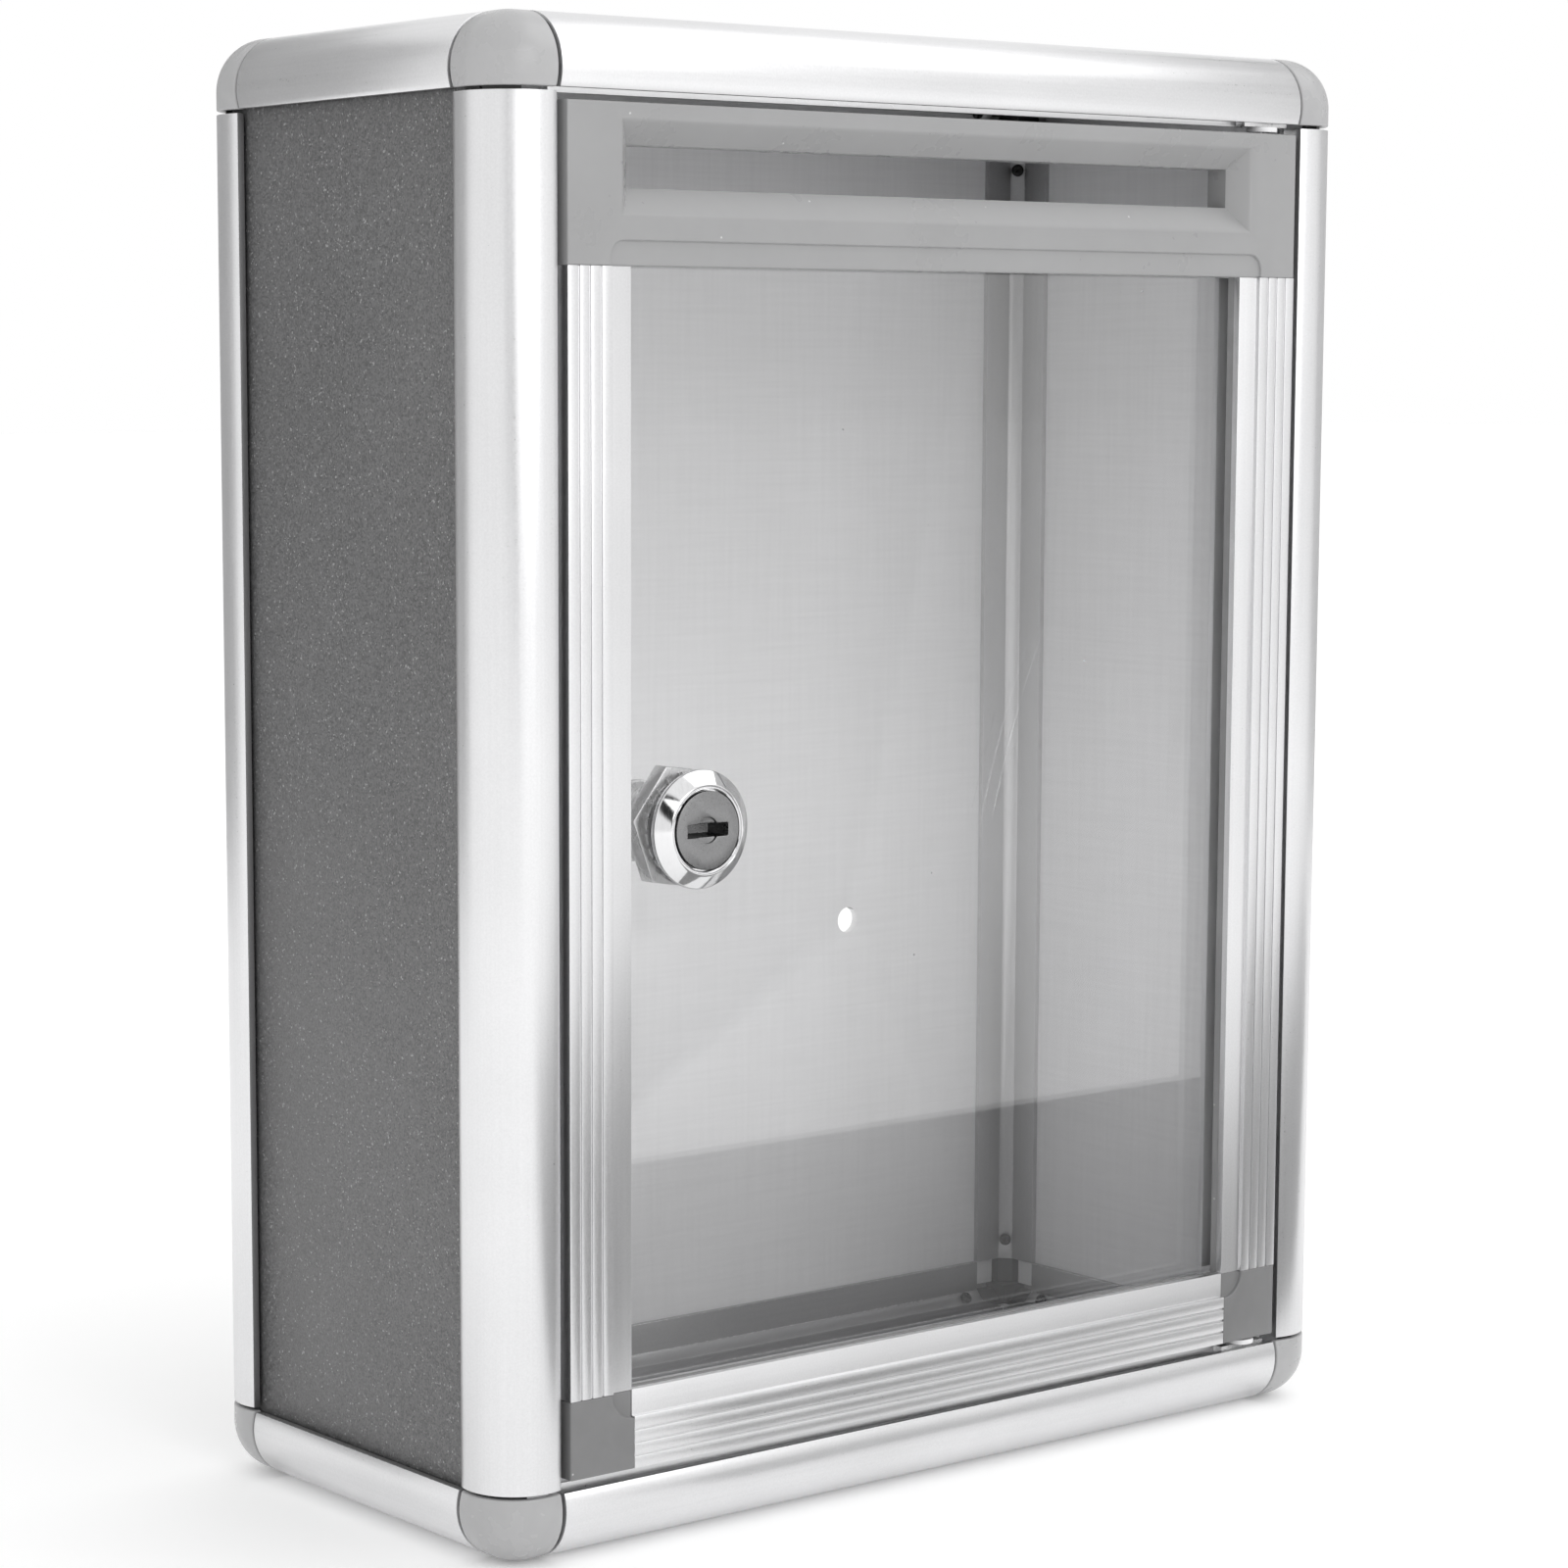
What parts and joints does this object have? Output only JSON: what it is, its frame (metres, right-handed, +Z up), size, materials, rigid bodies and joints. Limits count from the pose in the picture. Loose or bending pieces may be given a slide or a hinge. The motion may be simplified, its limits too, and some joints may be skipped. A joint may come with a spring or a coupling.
{
  "type": "wall donation box with clear door",
  "caption": "Slim aluminium-framed donation box with rounded corners, sheet panels, and a clear hinged door that has a posting slot and a cam lock.",
  "frame": {"origin": "centre of the footprint, on the surface that the box stands on", "axes": "+X to the right as seen from the front, where the door is hinged; +Y to the back panel; +Z up; the door faces -Y"},
  "size_m": [0.212, 0.096, 0.275],
  "materials": {
    "profile_aluminium": "satin silver anodised",
    "door_aluminium": "satin silver anodised, fine grooves",
    "panel_aluminium": "dark grey with a fine metallic sparkle outside, smooth lighter grey inside",
    "cap_plastic": "glossy mid grey",
    "core_plastic": "black moulded",
    "corner_plastic": "satin grey moulded",
    "moulding_plastic": "glossy grey moulded",
    "gasket_rubber": "matt grey",
    "clear_acrylic": "clear, polished",
    "washer_nylon": "white nylon",
    "black_steel": "black oxide",
    "bright_steel": "bright zinc plated",
    "lock_chrome": "polished chrome",
    "lock_zinc": "nickel plated zinc",
    "plug_zinc": "satin nickel",
    "cam_steel": "zinc plated sheet"
  },
  "bodies": {
    "box": {"post_front_left": "profile_aluminium", "post_front_right": "profile_aluminium", "post_rear_left": "profile_aluminium", "post_rear_right": "profile_aluminium", "rail_top_front": "profile_aluminium", "rail_top_rear": "profile_aluminium", "rail_top_left": "profile_aluminium", "rail_top_right": "profile_aluminium", "rail_bottom_front": "profile_aluminium", "rail_bottom_rear": "profile_aluminium", "rail_bottom_left": "profile_aluminium", "rail_bottom_right": "profile_aluminium", "cap_top_front_left": "cap_plastic", "cap_top_front_right": "cap_plastic", "cap_top_rear_left": "cap_plastic", "cap_top_rear_right": "cap_plastic", "cap_bottom_front_left": "cap_plastic", "cap_bottom_front_right": "cap_plastic", "cap_bottom_rear_left": "cap_plastic", "cap_bottom_rear_right": "cap_plastic", "core_top_front_left": "core_plastic", "core_top_front_right": "core_plastic", "core_top_rear_left": "core_plastic", "core_top_rear_right": "core_plastic", "core_bottom_front_left": "core_plastic", "core_bottom_front_right": "core_plastic", "core_bottom_rear_left": "core_plastic", "core_bottom_rear_right": "core_plastic", "frame_screws": "black_steel", "panel_left": "panel_aluminium", "panel_right": "panel_aluminium", "panel_back": "panel_aluminium", "panel_top": "panel_aluminium", "panel_bottom": "panel_aluminium", "hinge_pin_top": "bright_steel", "hinge_pin_bottom": "bright_steel", "hinge_washers": "washer_nylon", "lock_keeper": "cam_steel", "keeper_rivets": "bright_steel"},
    "door": {"door_stile_left": "door_aluminium", "door_stile_right": "door_aluminium", "door_rail": "door_aluminium", "door_corner_left": "corner_plastic", "door_corner_right": "corner_plastic", "slot_moulding": "moulding_plastic", "pane_gasket": "gasket_rubber", "door_pane": "clear_acrylic", "lock_housing": "lock_chrome", "lock_washer": "lock_zinc", "lock_nut": "lock_zinc"},
    "cam_cylinder": {"lock_plug": "plug_zinc", "lock_cam": "cam_steel", "cam_bolt": "bright_steel"}
  },
  "joints": [
    {"name": "door_hinge", "type": "hinge", "parent": "box", "child": "door", "pos_m": [0.084, -0.045, 0.1375], "axis": [0, 0, 1], "range_deg": [0, 130]},
    {"name": "lock_turn", "type": "hinge", "parent": "door", "child": "cam_cylinder", "pos_m": [-0.0584, -0.048, 0.1307], "axis": [0, 1, 0], "range_deg": [0, 90]}
  ]
}
